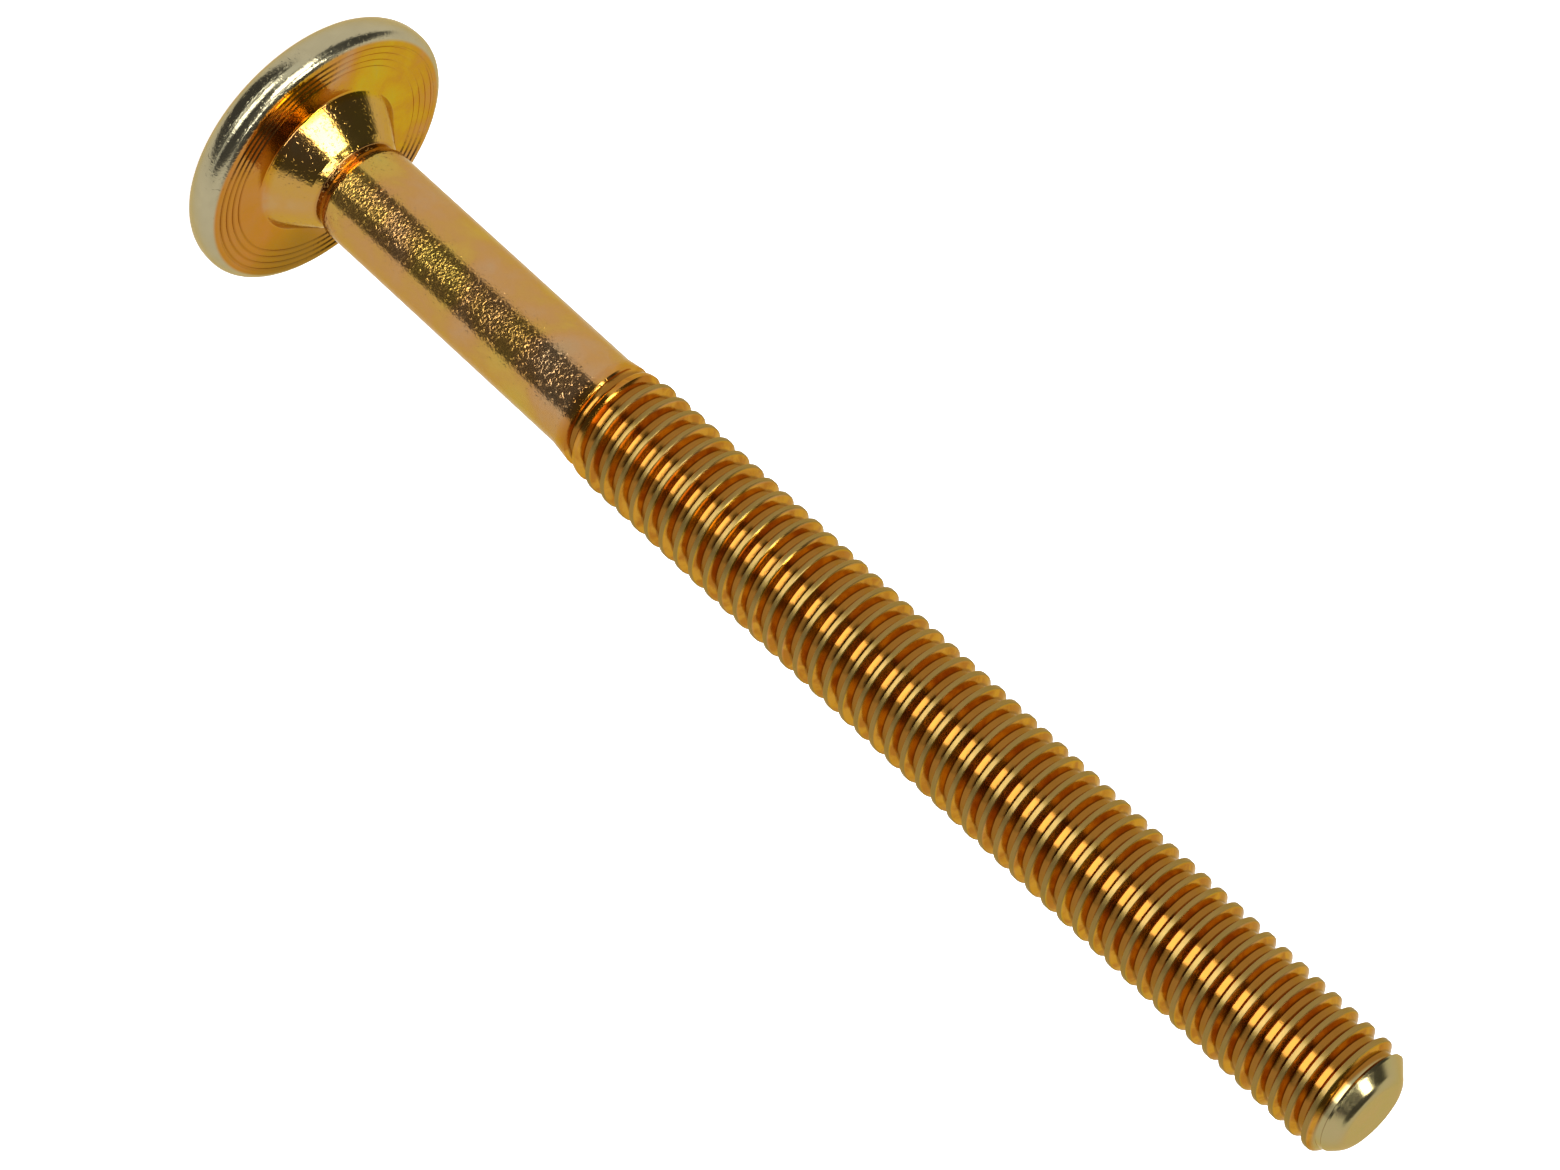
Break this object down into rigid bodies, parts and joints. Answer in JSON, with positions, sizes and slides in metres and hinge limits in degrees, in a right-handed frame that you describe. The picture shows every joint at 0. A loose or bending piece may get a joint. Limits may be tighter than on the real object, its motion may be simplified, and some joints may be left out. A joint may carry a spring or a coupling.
{
  "type": "connector bolt",
  "caption": "Flat-headed connector bolt with a conical collar under the head, a plain shank, a right-hand M6 thread to the tip and a hexagon socket.",
  "frame": {"origin": "centre of the head's flat top face, on which the bolt stands", "axes": "+Z along the bolt's axis from the head to the tip"},
  "size_m": [0.0146, 0.0146, 0.0714],
  "materials": {
    "bolt": "yellow zinc plating, glossy, with fine turning rings and drawing scratches"
  },
  "bodies": {
    "root": {"bolt": "bolt"}
  },
  "joints": []
}
